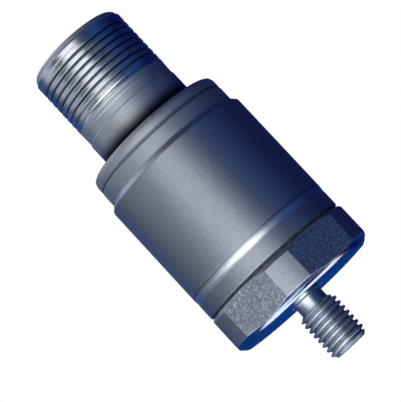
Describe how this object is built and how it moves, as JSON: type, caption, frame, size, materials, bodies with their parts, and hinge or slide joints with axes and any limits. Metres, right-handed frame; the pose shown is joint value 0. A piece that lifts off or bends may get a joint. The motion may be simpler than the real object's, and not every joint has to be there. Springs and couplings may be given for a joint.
{
  "type": "vibration sensor",
  "caption": "Cylindrical stainless steel accelerometer with a hexagonal base, a threaded mounting stud below and a threaded pin connector on top.",
  "frame": {"origin": "centre of the mounting face, where the stud enters the base", "axes": "+Z along the sensor's axis, from the stud towards the connector; a rounded corner of the hexagon points along -Y and the connector's keyway along +Y"},
  "size_m": [0.0242, 0.0258, 0.0589],
  "materials": {
    "stainless_steel": "turned and fine blasted stainless steel",
    "seal_glass": "fused dark sealing glass",
    "contact_gold": "gold plate over nickel",
    "alumina": "ground white ceramic",
    "piezo_ceramic": "matt buff ceramic",
    "copper_foil": "rolled copper alloy",
    "tungsten_alloy": "turned heavy alloy",
    "nickel_plate": "dull nickel plate",
    "spacer_polymer": "machined tan polymer",
    "board_laminate": "green solder mask on glass laminate",
    "moulded_black": "black moulding compound",
    "capacitor_ceramic": "fired brown ceramic",
    "lead_red": "red wire insulation",
    "lead_white": "white wire insulation",
    "lead_black": "black wire insulation"
  },
  "bodies": {
    "root": {"base": "stainless_steel", "case_tube": "stainless_steel", "connector_shell": "stainless_steel", "glass_seal": "seal_glass", "contact_pin_a": "contact_gold", "contact_pin_b": "contact_gold", "contact_pin_c": "contact_gold", "lower_insulator": "alumina", "lower_piezo_ring": "piezo_ceramic", "electrode": "copper_foil", "upper_piezo_ring": "piezo_ceramic", "seismic_mass": "tungsten_alloy", "bolt_sleeve": "spacer_polymer", "upper_insulator": "alumina", "spring_washer": "nickel_plate", "preload_bolt": "nickel_plate", "shield_can": "nickel_plate", "can_insulator": "spacer_polymer", "board_spacer": "spacer_polymer", "circuit_board": "board_laminate", "amplifier_chip": "moulded_black", "coupling_capacitor": "capacitor_ceramic", "filter_capacitor": "capacitor_ceramic", "bias_resistor": "moulded_black", "feedback_resistor": "moulded_black", "pin_lead_a": "lead_red", "pin_lead_b": "lead_white", "pin_lead_c": "lead_black", "signal_lead": "lead_white"}
  },
  "joints": []
}
